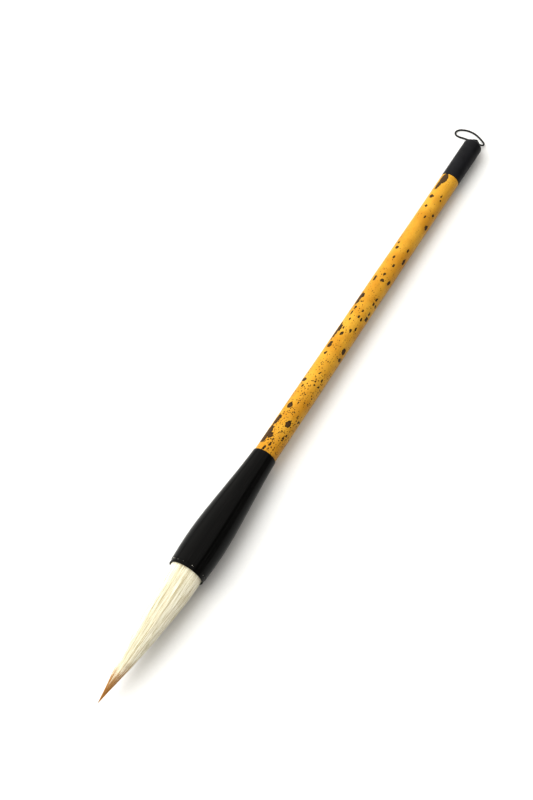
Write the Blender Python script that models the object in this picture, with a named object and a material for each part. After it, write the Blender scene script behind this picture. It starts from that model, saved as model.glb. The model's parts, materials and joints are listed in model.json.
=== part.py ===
"""Calligraphy brush lying on a table: hair tuft, bell ferrule, bamboo handle, end cap and hanging loop.

Run it with: blender --background --python part.py
Units are metres, +Z is up and the table is z = 0. The brush lies along X, with its hair towards -X.
A station is a distance along the brush's own axis from the mouth of the ferrule. It is negative in the
hair that shows, and positive in the ferrule, the handle and the cap.
"""

import math

import bmesh
import bpy
import numpy as np
from mathutils import Matrix, Vector
from mathutils.geometry import interpolate_bezier

# Clearance between two pieces that touch, flats round a turned piece, and steps down a hollowed end.
GAP = 0.0003
SIDES = 32
DISH_STEP = 0.0006

# Tuft: cover hairs outside, lining hairs in its belly, and a core whose bare point is the brush's tip.
HAIR_SHOWN = 0.0560
HAIR_SET = 0.0155
TUFT_RADIUS = 0.0064
TIP_RADIUS = 0.0001
COVER_WALL = 0.0018
COVER_EDGE_WALL = 0.00035
CORE_BARE = 0.0120
LINING_WALL = 0.0014
LINING_SHOWN = 0.0240
ROOT_PROUD = 0.0008
BEND_LIMIT = math.radians(40)

# Thread wound round the roots, and the rosin that seals them.
THREAD_RADIUS = 0.00025
THREAD_TURNS = 3.5
BINDING_STATION = 0.0115
ROSIN_THICKNESS = 0.0016

# Bell ferrule.
LIP_LENGTH = 0.0017
LIP_WALL = 0.00040
LEDGE_STEP = 0.00020
BELLY_STATION = 0.0130
BELLY_SWELL = 0.00035
FERRULE_LENGTH = 0.0550
RIM_RADIUS = 0.00485
SOCKET_DEPTH = 0.0180
TENON_DEPTH = 0.0180
GLUE_HOLE_RADIUS = 0.0015

# Bamboo handle, its natural bore and the dowel that joins it to the ferrule.
BAMBOO_LENGTH = 0.1510
BAMBOO_FRONT_RADIUS = 0.00455
BAMBOO_REAR_RADIUS = 0.00400
BORE_RADIUS = 0.0020
DOWEL_RADIUS = 0.0026
DOWEL_IN_BAMBOO = 0.0250

# End cap, its spigot, the boss round the cord's hole and the chamber that holds the stopper knot.
CAP_LENGTH = 0.0220
CAP_FRONT_RADIUS = 0.00405
CAP_RADIUS = 0.0050
SHOULDER_RADIUS = 0.0014
BOSS_RADIUS = 0.0020
BOSS_LENGTH = 0.0015
SPIGOT_RADIUS = 0.0025
SPIGOT_LENGTH = 0.0110
CHAMBER_RADIUS = 0.0018
CHAMBER_DEPTH = 0.0160
CORD_HOLE_RADIUS = 0.0010

# Hanging loop: a cord whose two strands are served together into a neck, then part at a knot.
CORD_RADIUS = 0.00035
TAIL_RADIUS = 0.0007
STOPPER_RADIUS = 0.0014
NECK_RADIUS = 0.00072
KNOT_RADIUS = 0.0009
KNOT_FORWARD = 0.0024
KNOT_ASIDE = 0.0008
LYING_CLEARANCE = 0.00004

# Centre line of the loop's eye, counted from the knot's centre: round and back, with the far stretch flat.
EYE_ROUTE = [
    (-0.00010, -0.00122, -0.00010),
    (-0.00012, -0.00205, -0.00036),
    (0.00020, -0.00295, -0.00070),
    (0.00105, -0.00348, -0.00102),
    (0.00210, -0.00310, -0.00132),
    (0.00300, -0.00200, -0.00156),
    (0.00385, -0.00060, -0.00172),
    (0.00458, 0.00095, -0.00179),
    (0.00505, 0.00265, -0.00180),
    (0.00522, 0.00442, -0.00180),
    (0.00505, 0.00615, -0.00180),
    (0.00452, 0.00780, -0.00180),
    (0.00368, 0.00920, -0.00180),
    (0.00250, 0.01010, -0.00180),
    (0.00125, 0.01010, -0.00180),
    (0.00042, 0.00915, -0.00180),
    (0.00025, 0.00775, -0.00180),
    (0.00045, 0.00625, -0.00178),
    (0.00052, 0.00465, -0.00158),
    (0.00030, 0.00300, -0.00105),
    (0.00000, 0.00125, -0.00022),
]

# Stations and radii that follow from the sizes above.
TIP = -HAIR_SHOWN
SOCKET_RADIUS = TUFT_RADIUS + GAP
LIP_RADIUS = SOCKET_RADIUS + LIP_WALL
LEDGE_RADIUS = LIP_RADIUS + LEDGE_STEP
BELLY_RADIUS = LEDGE_RADIUS + BELLY_SWELL
COVER_INNER_RADIUS = TUFT_RADIUS - COVER_WALL
LINING_RADIUS = COVER_INNER_RADIUS - GAP
LINING_INNER_RADIUS = LINING_RADIUS - LINING_WALL
CORE_RADIUS = LINING_INNER_RADIUS - GAP
BEND_RADIUS = TUFT_RADIUS / math.cos(BEND_LIMIT)
BEND_STATION = -ROOT_PROUD - TUFT_RADIUS * math.tan(BEND_LIMIT)
DOWEL_HOLE_RADIUS = DOWEL_RADIUS + GAP
BAMBOO_START = FERRULE_LENGTH + GAP
BAMBOO_END = BAMBOO_START + BAMBOO_LENGTH
CAP_START = BAMBOO_END + GAP
CAP_FACE = CAP_START + CAP_LENGTH
CAP_WIDEST = CAP_FACE - SHOULDER_RADIUS
BOSS_END = CAP_FACE + BOSS_LENGTH
SPIGOT_START = BAMBOO_END - SPIGOT_LENGTH
CHAMBER_FLOOR = SPIGOT_START + CHAMBER_DEPTH
NECK_STATION = BOSS_END + GAP + NECK_RADIUS
KNOT_HEIGHT = CORD_RADIUS + LYING_CLEARANCE - min(point[2] for point in EYE_ROUTE)

# How the brush lies: on the flats under the ferrule's belly and under the cap's widest ring.
FLAT_SHARE = math.cos(math.pi / SIDES)
REST_TILT = math.atan(FLAT_SHARE * (BELLY_RADIUS - CAP_RADIUS) / (CAP_WIDEST - BELLY_STATION))


def clear_scene():
    for obj in list(bpy.data.objects):
        bpy.data.objects.remove(obj, do_unlink=True)


def finish(name, colour, roughness, metallic=0.0):
    """Material with a plain Principled BSDF."""
    material = bpy.data.materials.new(name)
    material.use_nodes = True
    shader = material.node_tree.nodes["Principled BSDF"]
    shader.inputs["Base Color"].default_value = (*colour, 1.0)
    shader.inputs["Roughness"].default_value = roughness
    shader.inputs["Metallic"].default_value = metallic
    return material


def place(name, data, material, parent, location=(0.0, 0.0, 0.0)):
    """Object of its own for one piece, placed in its parent's frame."""
    data.materials.append(material)
    obj = bpy.data.objects.new(name, data)
    bpy.context.scene.collection.objects.link(obj)
    obj.parent = parent
    obj.location = location
    return obj


def pivot(name, location, rotation=(0.0, 0.0, 0.0), parent=None):
    """Empty that carries the pieces of one frame."""
    empty = bpy.data.objects.new(name, None)
    bpy.context.scene.collection.objects.link(empty)
    empty.parent = parent
    empty.location = location
    empty.rotation_euler = rotation
    return empty


def turned(name, outline, material, parent, origin=0.0):
    """Turns an outline of (station, radius) points about the parent's Z axis, with a flat facing down.

    An outline that starts and ends on the axis makes a solid piece, and any other is closed into a ring.
    """
    half_step = Matrix.Rotation(math.pi / SIDES, 3, "Z")
    bm = bmesh.new()
    profile = [Vector((radius, 0.0, station - origin)) for station, radius in outline]
    points = [bm.verts.new(half_step @ point) for point in profile]
    edges = [bm.edges.new(pair) for pair in zip(points, points[1:])]
    if outline[0][1] > 0.0:
        edges.append(bm.edges.new((points[-1], points[0])))
    bmesh.ops.spin(
        bm, geom=points + edges, axis=(0, 0, 1), cent=(0, 0, 0), angle=math.tau, steps=SIDES, use_merge=True
    )
    bmesh.ops.remove_doubles(bm, verts=bm.verts, dist=1e-7)
    bmesh.ops.recalc_face_normals(bm, faces=bm.faces)
    mesh = bpy.data.meshes.new(name)
    bm.to_mesh(mesh)
    bm.free()
    mesh.shade_smooth()
    mesh.set_sharp_from_angle(angle=math.radians(40))
    return place(name, mesh, material, parent, (0.0, 0.0, origin))


def ball(name, radius, material, parent, location=(0.0, 0.0, 0.0)):
    """Round knot."""
    bm = bmesh.new()
    bmesh.ops.create_icosphere(bm, subdivisions=3, radius=radius)
    mesh = bpy.data.meshes.new(name)
    bm.to_mesh(mesh)
    bm.free()
    mesh.shade_smooth()
    return place(name, mesh, material, parent, location)


def tube(name, points, radius, material, parent):
    """Round cord along a line of points."""
    curve = bpy.data.curves.new(name, "CURVE")
    curve.dimensions = "3D"
    curve.bevel_depth = radius
    curve.bevel_resolution = 2
    curve.use_fill_caps = True
    spline = curve.splines.new("POLY")
    spline.points.add(len(points) - 1)
    for target, point in zip(spline.points, points):
        target.co = (*point, 1.0)
    return place(name, curve, material, parent)


def bend(start, start_handle, end_handle, end, count):
    """Smooth stretch of an outline, without its first point."""
    corners = [Vector((station, radius, 0.0)) for station, radius in (start, start_handle, end_handle, end)]
    return [(point.x, point.y) for point in interpolate_bezier(*corners, count + 1)[1:]]


def arc(centre, radius, start, end, count):
    """Round stretch of an outline, by angle from the axis, with both its ends."""
    angles = np.linspace(start, end, count)
    return [(centre[0] + radius * math.cos(angle), centre[1] + radius * math.sin(angle)) for angle in angles]


def smooth_route(route, per_span):
    """Catmull-Rom curve through the route's points."""
    ends = [2 * Vector(route[0]) - Vector(route[1]), 2 * Vector(route[-1]) - Vector(route[-2])]
    points = [ends[0], *map(Vector, route), ends[1]]
    curve = []
    for before, start, end, after in zip(points, points[1:], points[2:], points[3:]):
        leave = start + (end - before) / 6
        arrive = end - (after - start) / 6
        curve += interpolate_bezier(start, leave, arrive, end, per_span + 1)[:-1]
    return [*curve, points[-2]]


def dish(radius, inner, outer):
    """Stretch of a ball round the bend's centre, on the ferrule's side, from an inner to an outer radius."""
    count = max(2, round((outer - inner) / DISH_STEP) + 1)
    across = np.linspace(inner, outer, count)
    return [(BEND_STATION + math.sqrt(radius**2 - share**2), float(share)) for share in across]


def tuft_outline():
    """Outside of the hair from its tip to the mouth: a slim ogive that is full where it leaves the mouth."""
    first = (TIP, TIP_RADIUS)
    slim = (TIP + 0.35 * HAIR_SHOWN, 0.38 * TUFT_RADIUS)
    full = (TIP + 0.72 * HAIR_SHOWN, 0.97 * TUFT_RADIUS)
    return [first, *bend(first, slim, full, (0.0, TUFT_RADIUS), 24)]


def radius_at(outline, station):
    stations, radii = zip(*outline)
    return float(np.interp(station, stations, radii))


def make_tuft(brush, hair):
    """Moving half of the tuft: three layers that start on the bend's sphere."""
    outline = tuft_outline()
    reach = BEND_RADIUS - GAP
    cover_end = TIP + CORE_BARE
    edge_radius = radius_at(outline, cover_end)
    cavity_radius = edge_radius - COVER_EDGE_WALL
    cover_root = dish(reach, COVER_INNER_RADIUS, TUFT_RADIUS)
    shown = [point for point in outline if cover_end < point[0] < BEND_STATION]
    cavity_start = (BEND_STATION, COVER_INNER_RADIUS)
    cover = [(cover_end, edge_radius), *shown, *reversed(cover_root)]
    cover += [cavity_start, (cover_end, cavity_radius)]
    turned("cover_hairs", cover, hair["cover"], brush, BEND_STATION)

    lining_end = -LINING_SHOWN
    taper = (lining_end - cover_end) / (BEND_STATION - cover_end)
    lining_tip_radius = cavity_radius + taper * (COVER_INNER_RADIUS - cavity_radius) - GAP
    lining_root = dish(reach, LINING_INNER_RADIUS, LINING_RADIUS)
    lining = [(lining_end, lining_tip_radius), (BEND_STATION, LINING_RADIUS), *reversed(lining_root)]
    inner_tip = min(LINING_INNER_RADIUS, lining_tip_radius - GAP)
    lining += [(BEND_STATION, LINING_INNER_RADIUS), (lining_end, inner_tip)]
    turned("lining_hairs", lining, hair["lining"], brush, BEND_STATION)

    core_share = (cavity_radius - GAP) / edge_radius
    point = [(station, core_share * radius) for station, radius in outline if station < cover_end]
    core = [(TIP, 0.0), *point, (cover_end, cavity_radius - GAP), (lining_end, inner_tip - GAP)]
    core += [(BEND_STATION, CORE_RADIUS)]
    core += reversed(dish(reach, 0.0, CORE_RADIUS))
    turned("core_hairs", core, hair["core"], brush, BEND_STATION)


def make_roots(brush, hair, thread, rosin):
    """Still half of the tuft, set in the ferrule, with its binding and its seal."""
    groove_floor = TUFT_RADIUS - 3 * THREAD_RADIUS
    groove_half = (THREAD_TURNS / 2 + 1) * 2.3 * THREAD_RADIUS
    cover = [
        *dish(BEND_RADIUS, COVER_INNER_RADIUS, TUFT_RADIUS),
        (BINDING_STATION - groove_half, TUFT_RADIUS),
        (BINDING_STATION - groove_half, groove_floor),
        (BINDING_STATION + groove_half, groove_floor),
        (BINDING_STATION + groove_half, TUFT_RADIUS),
        (HAIR_SET, TUFT_RADIUS),
        (HAIR_SET, COVER_INNER_RADIUS),
    ]
    turned("cover_hair_roots", cover, hair["cover"], brush)
    lining = dish(BEND_RADIUS, LINING_INNER_RADIUS, LINING_RADIUS)
    lining += [(HAIR_SET, LINING_RADIUS), (HAIR_SET, LINING_INNER_RADIUS)]
    turned("lining_hair_roots", lining, hair["lining"], brush)
    core = dish(BEND_RADIUS, 0.0, CORE_RADIUS)
    core += [(HAIR_SET, CORE_RADIUS), (HAIR_SET, 0.0)]
    turned("core_hair_roots", core, hair["core"], brush)

    coil_radius = groove_floor + 1.2 * THREAD_RADIUS + THREAD_RADIUS
    pitch = 2.3 * THREAD_RADIUS
    turns = np.linspace(-THREAD_TURNS / 2, THREAD_TURNS / 2, round(THREAD_TURNS * 18) + 1)
    radial = Vector((coil_radius, 0.0, 0.0))
    coil = [
        Matrix.Rotation(turn * math.tau, 3, "Z") @ radial + Vector((0.0, 0.0, BINDING_STATION + turn * pitch))
        for turn in turns
    ]
    tube("root_binding", coil, THREAD_RADIUS, thread, brush)

    seal_start = HAIR_SET + GAP
    seal = [(seal_start, 0.0), (seal_start, TUFT_RADIUS), (seal_start + 0.6 * ROSIN_THICKNESS, TUFT_RADIUS)]
    seal += [(seal_start + ROSIN_THICKNESS, 0.6 * TUFT_RADIUS), (seal_start + ROSIN_THICKNESS, 0.0)]
    turned("rosin_seal", seal, rosin, brush)


def make_ferrule(brush, horn):
    """Bell: a thin lip, a ledge, a belly near the mouth and a long taper to the rim round the bamboo."""
    ledge = (LIP_LENGTH, LEDGE_RADIUS)
    belly = (BELLY_STATION, BELLY_RADIUS)
    rim = (FERRULE_LENGTH, RIM_RADIUS)
    rise = BELLY_STATION - LIP_LENGTH
    run = FERRULE_LENGTH - BELLY_STATION
    before_belly = (BELLY_STATION - 0.5 * rise, BELLY_RADIUS)
    after_ledge = (LIP_LENGTH + 0.4 * rise, LEDGE_RADIUS + 0.6 * BELLY_SWELL)
    after_belly = (BELLY_STATION + 0.28 * run, BELLY_RADIUS)
    before_rim = (FERRULE_LENGTH - 0.36 * run, RIM_RADIUS + 0.22 * (BELLY_RADIUS - RIM_RADIUS))
    web_rear = FERRULE_LENGTH - TENON_DEPTH
    outline = [(0.0, SOCKET_RADIUS), (0.0, LIP_RADIUS), (LIP_LENGTH, LIP_RADIUS), ledge]
    outline += bend(ledge, after_ledge, before_belly, belly, 6)
    outline += bend(belly, after_belly, before_rim, rim, 14)
    outline += [
        (FERRULE_LENGTH, DOWEL_HOLE_RADIUS),
        (web_rear, DOWEL_HOLE_RADIUS),
        (web_rear, GLUE_HOLE_RADIUS),
        (SOCKET_DEPTH, GLUE_HOLE_RADIUS),
        (SOCKET_DEPTH, SOCKET_RADIUS),
    ]
    turned("ferrule", outline, horn, brush)


def make_handle(brush, bamboo, wood):
    """Bamboo tube with a reamed bore at each end, and the dowel in its front bore."""
    dowel_end = BAMBOO_START + DOWEL_IN_BAMBOO
    front_floor = dowel_end + GAP
    rear_floor = SPIGOT_START - GAP
    spigot_hole_radius = SPIGOT_RADIUS + GAP
    outline = [
        (BAMBOO_START, DOWEL_HOLE_RADIUS),
        (BAMBOO_START, BAMBOO_FRONT_RADIUS),
        (BAMBOO_END, BAMBOO_REAR_RADIUS),
        (BAMBOO_END, spigot_hole_radius),
        (rear_floor, spigot_hole_radius),
        (rear_floor, BORE_RADIUS),
        (front_floor, BORE_RADIUS),
        (front_floor, DOWEL_HOLE_RADIUS),
    ]
    turned("bamboo_handle", outline, bamboo, brush)
    dowel_start = FERRULE_LENGTH - TENON_DEPTH + GAP
    chamfer = 0.2 * DOWEL_RADIUS
    dowel = [
        (dowel_start, 0.0),
        (dowel_start, DOWEL_RADIUS - chamfer),
        (dowel_start + chamfer, DOWEL_RADIUS),
        (dowel_end - chamfer, DOWEL_RADIUS),
        (dowel_end, DOWEL_RADIUS - chamfer),
        (dowel_end, 0.0),
    ]
    turned("handle_dowel", dowel, wood, brush)


def make_cap(brush, horn, cord):
    """End cap with its spigot in the bamboo, and the cord's knot and tail inside it."""
    shoulder_centre = (CAP_WIDEST, CAP_RADIUS - SHOULDER_RADIUS)
    outline = [
        (SPIGOT_START, CHAMBER_RADIUS),
        (SPIGOT_START, SPIGOT_RADIUS),
        (CAP_START, SPIGOT_RADIUS),
        (CAP_START, CAP_FRONT_RADIUS),
    ]
    outline += arc(shoulder_centre, SHOULDER_RADIUS, math.pi / 2, 0.0, 6)
    outline += [
        (CAP_FACE, BOSS_RADIUS),
        (BOSS_END, BOSS_RADIUS),
        (BOSS_END, CORD_HOLE_RADIUS),
        (CHAMBER_FLOOR, CORD_HOLE_RADIUS),
        (CHAMBER_FLOOR, CHAMBER_RADIUS),
    ]
    turned("end_cap", outline, horn, brush)
    stopper_station = CHAMBER_FLOOR - GAP - STOPPER_RADIUS
    ball("stopper_knot", STOPPER_RADIUS, cord, brush, (0.0, 0.0, stopper_station))
    tail_start = stopper_station + STOPPER_RADIUS + GAP
    tail = [(tail_start, 0.0), (tail_start, TAIL_RADIUS), (BOSS_END, TAIL_RADIUS), (BOSS_END, 0.0)]
    turned("cord_tail", tail, cord, brush)


def make_loop(brush, cord):
    """Neck that lifts at the cap's hole, and the knot and eye that turn at its end and lie on the table."""
    bpy.context.view_layer.update()
    boss = brush.matrix_world @ Vector((0.0, 0.0, BOSS_END))
    start = brush.matrix_world @ Vector((0.0, 0.0, NECK_STATION))
    knot = Vector((boss.x + KNOT_FORWARD, boss.y + KNOT_ASIDE, KNOT_HEIGHT))
    reach = knot - start
    neck_end = reach.length - KNOT_RADIUS - GAP
    neck_frame = pivot("loop_neck_pivot", start, reach.to_track_quat("Z", "Y").to_euler())
    neck = [(-NECK_RADIUS, 0.0), *arc((0.0, 0.0), NECK_RADIUS, math.pi, math.pi / 2, 6)[1:]]
    neck += [(neck_end, NECK_RADIUS), (neck_end, 0.0)]
    turned("neck_serving", neck, cord, neck_frame)
    eye_frame = pivot("loop_eye_pivot", knot)
    ball("eye_knot", KNOT_RADIUS, cord, eye_frame)
    tube("hanging_loop", smooth_route(EYE_ROUTE, 2), CORD_RADIUS, cord, eye_frame)


def main():
    clear_scene()
    hair = {
        "cover": finish("goat_hair", (0.86, 0.80, 0.66), 0.6),
        "lining": finish("lining_hair", (0.78, 0.70, 0.52), 0.6),
        "core": finish("weasel_hair", (0.46, 0.24, 0.09), 0.5),
    }
    horn = finish("black_horn", (0.012, 0.012, 0.012), 0.2)
    cap_horn = finish("satin_black_horn", (0.018, 0.018, 0.020), 0.4)
    bamboo = finish("spotted_bamboo", (0.72, 0.40, 0.09), 0.35)
    wood = finish("dowel_wood", (0.62, 0.42, 0.22), 0.7)
    thread = finish("binding_thread", (0.70, 0.62, 0.48), 0.8)
    rosin = finish("rosin", (0.36, 0.16, 0.04), 0.3)
    cord = finish("black_cord", (0.015, 0.015, 0.016), 0.6)

    axis_height = FLAT_SHARE * BELLY_RADIUS * math.cos(REST_TILT) + BELLY_STATION * math.sin(REST_TILT)
    middle = (TIP + BOSS_END) / 2
    mouth = (-middle * math.cos(REST_TILT), 0.0, axis_height)
    brush = pivot("brush_axis", mouth, (0.0, math.pi / 2 + REST_TILT, 0.0))
    make_tuft(brush, hair)
    make_roots(brush, hair, thread, rosin)
    make_ferrule(brush, horn)
    make_handle(brush, bamboo, wood)
    make_cap(brush, cap_horn, cord)
    make_loop(brush, cord)


main()
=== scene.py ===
"""Calligraphy brush: hair tuft, horn ferrule, spotted bamboo handle, end cap and cord hanging loop.

The file is laid out as an add-on and run as a script. Lengths in lists and in the shaders are in
millimetres, and objects are in metres. A station is a distance along the brush's own axis from the mouth
of the ferrule: negative in the hair that shows, positive in the ferrule, the handle and the cap. A bearing
is an angle round that axis in degrees, 0 at the top of the lying brush and positive towards +Y.
"""

import json
import math

import bmesh
import bpy
import numpy as np
from mathutils import Matrix, Vector
from mathutils.geometry import interpolate_bezier

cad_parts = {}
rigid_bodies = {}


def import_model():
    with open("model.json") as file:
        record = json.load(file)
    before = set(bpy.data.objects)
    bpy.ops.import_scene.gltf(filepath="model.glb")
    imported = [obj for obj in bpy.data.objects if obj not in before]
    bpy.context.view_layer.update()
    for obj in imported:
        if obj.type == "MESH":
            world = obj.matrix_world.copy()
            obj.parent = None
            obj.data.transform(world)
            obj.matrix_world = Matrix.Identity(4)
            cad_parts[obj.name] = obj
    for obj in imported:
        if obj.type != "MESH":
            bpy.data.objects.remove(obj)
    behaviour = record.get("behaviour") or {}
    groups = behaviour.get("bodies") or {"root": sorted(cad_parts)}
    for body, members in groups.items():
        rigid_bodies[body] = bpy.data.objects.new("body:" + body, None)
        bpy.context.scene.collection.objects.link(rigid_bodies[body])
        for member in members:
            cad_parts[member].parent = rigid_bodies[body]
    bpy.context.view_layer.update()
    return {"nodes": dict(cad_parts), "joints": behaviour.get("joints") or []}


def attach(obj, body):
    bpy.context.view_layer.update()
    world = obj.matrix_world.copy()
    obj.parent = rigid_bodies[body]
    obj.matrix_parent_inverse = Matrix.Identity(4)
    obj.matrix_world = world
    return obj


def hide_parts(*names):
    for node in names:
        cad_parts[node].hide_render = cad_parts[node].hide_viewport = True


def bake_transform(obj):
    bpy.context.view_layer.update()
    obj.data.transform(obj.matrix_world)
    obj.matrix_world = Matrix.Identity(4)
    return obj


bl_info = {
    "name": "Calligraphy Brush",
    "version": (1, 0, 0),
    "blender": (4, 5, 0),
    "location": "3D View > Sidebar > Calligraphy Brush",
    "description": "Builds a calligraphy brush of hair, horn, bamboo and cord round its packed frame",
    "category": "Object",
}

for startup_object in list(bpy.data.objects):
    bpy.data.objects.remove(startup_object, do_unlink=True)
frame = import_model()

MM = 0.001
# Gap between pieces that touch, in millimetres.
GAP = 0.04
# A turned piece of the frame has 32 flats, and the round piece shown is the circle inside them.
INSIDE_FLATS = math.cos(math.pi / 32)

JOINT_AT = {joint["name"]: Vector(joint["pos_m"]) for joint in frame["joints"]}
AXIS = (JOINT_AT["loop_lift"] - JOINT_AT["tuft_bend"]).normalized()
SIDE = Vector((0.0, 1.0, 0.0))
DOWN = SIDE.cross(AXIS)


def node_points(node):
    """The points of a frame node, one a row."""
    mesh = frame["nodes"][node].data
    points = np.zeros(len(mesh.vertices) * 3)
    mesh.vertices.foreach_get("co", points)
    return points.reshape(-1, 3)


MOUTH = JOINT_AT["tuft_bend"] + AXIS * float(
    ((node_points("ferrule") - np.array(JOINT_AT["tuft_bend"])) @ np.array(AXIS)).min()
)
# From the brush's own axes, in millimetres with Z along the stations, to the row frame.
BRUSH_TURN = Matrix((DOWN, SIDE, AXIS)).transposed().to_4x4()
BRUSH_FRAME = Matrix.Translation(MOUTH) @ BRUSH_TURN @ Matrix.Scale(MM, 4)


def turned_rings(node):
    """Stations and radii of a turned node's points, in millimetres."""
    local = (node_points(node) - np.array(MOUTH)) / MM
    stations = local @ np.array(AXIS)
    radii = np.linalg.norm(local - stations[:, None] * np.array(AXIS), axis=1)
    return stations, radii * INSIDE_FLATS


def span(node):
    stations, _ = turned_rings(node)
    return float(stations.min()), float(stations.max())


def outer_line(node, start, end):
    """Outside of a turned node between two stations, as (station, radius) points."""
    stations, radii = turned_rings(node)
    found = {}
    for station, radius in zip(np.round(stations, 2), radii):
        found[float(station)] = max(found.get(float(station), 0.0), float(radius))
    line = [point for point in sorted(found.items()) if start - 0.01 <= point[0] <= end + 0.01]
    # A step of a bore inside has no point of the outside over it, and is left out.
    for before, point, after in list(zip(line, line[1:], line[2:])):
        if point[1] < 0.9 * min(before[1], after[1]):
            line.remove(point)
    return line


# Outside of the hair, as distances from the tip and radii in millimetres.
TUFT_LINE = [
    (0.0, 0.05),
    (1.5, 0.24),
    (3.5, 0.50),
    (6.0, 0.84),
    (10.0, 1.50),
    (16.0, 2.46),
    (22.0, 3.26),
    (28.5, 4.02),
    (36.0, 4.90),
    (43.0, 5.60),
    (50.0, 6.10),
    (56.0, 6.38),
    (60.0, 6.42),
]

FERRULE_SPAN = span("ferrule")
BAMBOO_SPAN = span("bamboo_handle")
CAP_SPAN = span("end_cap")
TIP = span("core_hairs")[0]
HAIR_END = span("cover_hair_roots")[1]
# Radius of the handle where its marks are measured, in millimetres.
HANDLE_RADIUS = 4.3
# The camera's place in metres.
CAMERA_AT = (-0.23926, -0.12474, 0.49526)

# Centre line of the loop's eye, from its knot round and back to it, in millimetres from the knot's centre.
EYE_ROUTE = [
    (-0.10, -1.22, -0.10),
    (-0.12, -2.05, -0.36),
    (0.20, -2.95, -0.70),
    (1.05, -3.48, -1.02),
    (2.10, -3.10, -1.32),
    (3.00, -2.00, -1.56),
    (3.85, -0.60, -1.72),
    (4.58, 0.95, -1.79),
    (5.05, 2.65, -1.80),
    (5.22, 4.42, -1.80),
    (5.05, 6.15, -1.80),
    (4.52, 7.80, -1.80),
    (3.68, 9.20, -1.80),
    (2.50, 10.10, -1.80),
    (1.25, 10.10, -1.80),
    (0.42, 9.15, -1.80),
    (0.25, 7.75, -1.80),
    (0.45, 6.25, -1.78),
    (0.52, 4.65, -1.58),
    (0.30, 3.00, -1.05),
    (0.00, 1.25, -0.22),
]

# Growth marks on the bamboo: station, bearing, length along the handle and width round it in millimetres.
GROWTH_MARKS = [
    (60.5, 50, 5.0, 2.6),
    (63.5, 46, 6.5, 3.0),
    (62.0, 24, 2.6, 2.2),
    (69.5, 46, 5.2, 2.2),
    (70.5, 36, 2.8, 1.4),
    (56.3, 13, 1.9, 1.1),
    (58.5, -3, 1.7, 0.9),
    (60.4, -1, 1.0, 0.6),
    (69.4, -24, 3.2, 2.0),
    (77.0, 26, 3.2, 1.9),
    (64.0, -42, 2.4, 0.6),
    (65.4, -51, 1.0, 0.6),
    (74.2, -44, 1.2, 0.5),
    (72.8, -51, 1.2, 0.6),
    (73.0, -67, 1.0, 0.8),
    (79.3, -6, 1.1, 0.5),
    (86.8, 30, 1.2, 0.9),
    (86.0, 8, 1.0, 0.6),
    (90.0, 48, 1.9, 2.6),
    (92.9, -46, 1.4, 0.8),
    (89.7, -49, 1.1, 0.8),
    (95.5, -16, 0.9, 0.5),
    (101.2, -15, 1.1, 0.5),
    (104.2, 26, 1.7, 1.0),
    (105.0, -68, 1.8, 1.8),
    (108.5, 34, 3.2, 1.8),
    (109.0, -58, 3.0, 2.0),
    (116.0, 50, 9.0, 1.6),
    (117.2, 38, 3.4, 1.2),
    (114.9, 9, 2.0, 1.2),
    (117.8, -22, 1.9, 1.0),
    (117.8, 19, 1.6, 0.6),
    (119.7, -42, 2.4, 0.7),
    (122.6, 18, 1.5, 0.7),
    (125.7, 31, 2.5, 0.9),
    (128.6, 31, 1.6, 0.8),
    (125.2, -17, 1.6, 0.8),
    (125.2, -37, 1.8, 0.8),
    (128.4, -18, 1.1, 0.9),
    (126.9, -66, 2.3, 1.8),
    (129.3, -61, 1.5, 1.0),
    (133.5, 47, 7.0, 2.0),
    (135.0, 36, 2.6, 1.4),
    (134.0, -47, 1.5, 0.9),
    (136.5, -49, 1.8, 0.9),
    (134.0, -70, 1.4, 1.2),
    (144.8, 34, 2.8, 1.1),
    (145.0, -12, 1.8, 1.6),
    (148.0, -5, 1.6, 0.8),
    (146.0, -54, 3.0, 1.2),
    (153.6, -20, 1.9, 0.9),
    (157.5, 6, 2.0, 0.8),
    (162.5, 27, 1.8, 1.6),
    (165.4, 35, 1.2, 1.2),
    (158.3, -60, 3.0, 1.6),
    (163.4, -41, 2.0, 0.9),
    (178.0, -58, 2.2, 1.8),
    (181.3, -12, 1.6, 0.8),
    (184.6, -50, 1.4, 1.3),
    (187.0, 22, 1.4, 1.5),
    (192.7, 28, 1.9, 2.2),
    (192.5, -36, 1.2, 0.7),
    (194.6, -27, 1.4, 0.6),
    (200.0, 34, 6.5, 2.0),
    (203.2, 24, 6.2, 3.4),
]

# Chips of dried glue at the ferrule's ledge: bearing, radius in millimetres, and times longer round the lip.
GLUE_CHIPS = [
    (57, 0.15, 3.0),
    (49, 0.12, 1.2),
    (33, 0.06, 2.0),
    (12, 0.05, 1.5),
    (-17, 0.11, 1.3),
    (-22, 0.06, 1.0),
    (-66, 0.12, 1.2),
    (-78, 0.07, 2.2),
    (-124, 0.12, 1.8),
    (118, 0.13, 2.5),
    (163, 0.08, 1.2),
]


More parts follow.
